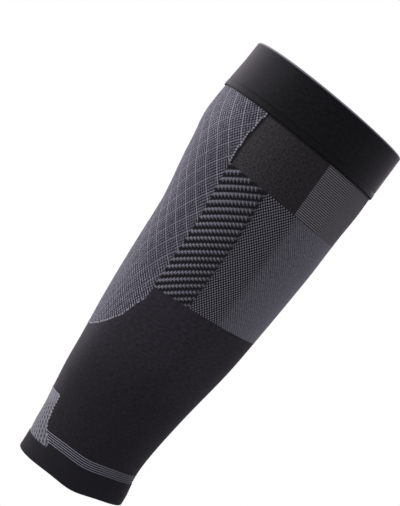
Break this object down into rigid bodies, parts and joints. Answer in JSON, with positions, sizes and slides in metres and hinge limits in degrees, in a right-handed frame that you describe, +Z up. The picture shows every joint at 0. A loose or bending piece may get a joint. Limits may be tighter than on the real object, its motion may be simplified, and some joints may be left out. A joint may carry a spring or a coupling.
{
  "type": "calf compression sleeve",
  "caption": "Tapered knit calf compression sleeve, open at both ends, with a doubled cuff, gray calf panel, raised ribs, shin band and ankle hem.",
  "frame": {"origin": "on the leg's axis, halfway between the top rim and the hem, where the sleeve sits on the calf", "axes": "+Z up the leg to the knee, +X to the shin and -X to the calf, +Y to the wearer's left, in millimetres in the source and metres in the row"},
  "size_m": [0.1321, 0.1184, 0.3301],
  "materials": {
    "cuff_black_knit": "matt, dense doubled knit, black",
    "calf_gray_knit": "matt melange knit, light gray on black, with a diamond lattice of raised lines",
    "rib_knit": "matt knit, gray slanted ribs on black recesses",
    "plain_dark_knit": "matt smooth knit, brownish black",
    "striped_dark_knit": "matt knit, thin gray lines on dark gray",
    "shin_gray_knit": "matt knit, gray, checked with black at its sides",
    "leg_black_knit": "matt smooth knit, violet black",
    "achilles_gray_knit": "matt melange knit, light gray on black",
    "ankle_line_knit": "matt knit, thin gray lines on black",
    "hem_black_knit": "matt, dense doubled knit, black"
  },
  "bodies": {
    "root": {"top_cuff": "cuff_black_knit", "calf_panel": "calf_gray_knit", "rib_panel_right": "rib_knit", "rib_panel_left": "rib_knit", "side_window_right": "plain_dark_knit", "side_window_left": "plain_dark_knit", "upper_shin_panel": "striped_dark_knit", "shin_band": "shin_gray_knit", "lower_leg": "leg_black_knit", "achilles_patch": "achilles_gray_knit", "ankle_band": "ankle_line_knit", "ankle_hem": "hem_black_knit"}
  },
  "joints": []
}
